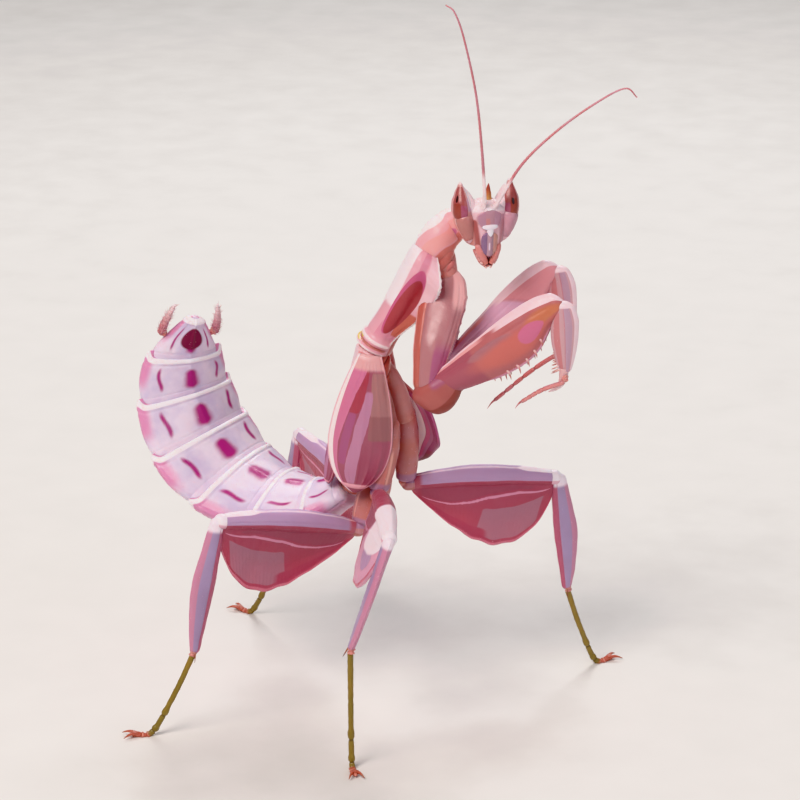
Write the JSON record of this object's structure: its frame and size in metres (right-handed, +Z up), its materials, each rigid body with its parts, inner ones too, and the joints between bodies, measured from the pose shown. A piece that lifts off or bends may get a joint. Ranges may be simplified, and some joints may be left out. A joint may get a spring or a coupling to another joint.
{
  "type": "orchid mantis",
  "caption": "Life-size orchid mantis nymph, standing on petal-lobed legs with grasping forelegs raised and broad abdomen curled up.",
  "frame": {"origin": "on the floor under the middle of the bounding box", "axes": "+X the way the animal faces, +Y its left side, +Z up"},
  "size_m": [0.0404, 0.0322, 0.0592],
  "materials": {
    "pale_cuticle": "waxy, satin pale pink",
    "soft_cuticle": "waxy, satin rose pink",
    "petal_lobe": "waxy, satin petal pink and white",
    "wing_pad": "satin rose with raised veins",
    "grasping_femur": "waxy, satin rose pink with a white crest",
    "grasping_tibia": "waxy, satin pale pink",
    "walking_tibia": "waxy, satin lilac",
    "walking_foot": "satin olive brown",
    "abdomen_cuticle": "waxy, satin pearl white with magenta marks",
    "eye": "glossy",
    "horn": "satin amber"
  },
  "bodies": {
    "root": {"abdomen_1": "abdomen_cuticle", "abdomen_2": "abdomen_cuticle", "abdomen_3": "abdomen_cuticle", "abdomen_4": "abdomen_cuticle", "abdomen_5": "abdomen_cuticle", "abdomen_6": "abdomen_cuticle", "abdomen_tip": "abdomen_cuticle", "antenna_left": "pale_cuticle", "antenna_right": "pale_cuticle", "cercus_left": "pale_cuticle", "cercus_right": "pale_cuticle", "eye_left": "eye", "eye_right": "eye", "fore_coxa_left": "pale_cuticle", "fore_coxa_right": "pale_cuticle", "fore_femur_left": "grasping_femur", "fore_femur_right": "grasping_femur", "fore_tarsus_left": "grasping_tibia", "fore_tarsus_right": "grasping_tibia", "fore_tibia_left": "grasping_tibia", "fore_tibia_right": "grasping_tibia", "fore_trochanter_left": "soft_cuticle", "fore_trochanter_right": "soft_cuticle", "fore_wing_pad_left": "wing_pad", "fore_wing_pad_right": "wing_pad", "head": "pale_cuticle", "hind_left_coxa": "soft_cuticle", "hind_left_femur": "petal_lobe", "hind_left_tarsus": "walking_foot", "hind_left_tibia": "walking_tibia", "hind_left_trochanter": "soft_cuticle", "hind_right_coxa": "soft_cuticle", "hind_right_femur": "petal_lobe", "hind_right_tarsus": "walking_foot", "hind_right_tibia": "walking_tibia", "hind_right_trochanter": "soft_cuticle", "hind_wing_pad_left": "wing_pad", "hind_wing_pad_right": "wing_pad", "mesothorax": "soft_cuticle", "metathorax": "soft_cuticle", "mid_left_coxa": "soft_cuticle", "mid_left_femur": "petal_lobe", "mid_left_tarsus": "walking_foot", "mid_left_tibia": "walking_tibia", "mid_left_trochanter": "soft_cuticle", "mid_right_coxa": "soft_cuticle", "mid_right_femur": "petal_lobe", "mid_right_tarsus": "walking_foot", "mid_right_tibia": "walking_tibia", "mid_right_trochanter": "soft_cuticle", "mouthparts": "soft_cuticle", "neck": "soft_cuticle", "palps_left": "pale_cuticle", "palps_right": "pale_cuticle", "pronotum": "pale_cuticle", "prosternum": "soft_cuticle", "vertex_horn": "horn"}
  },
  "joints": []
}
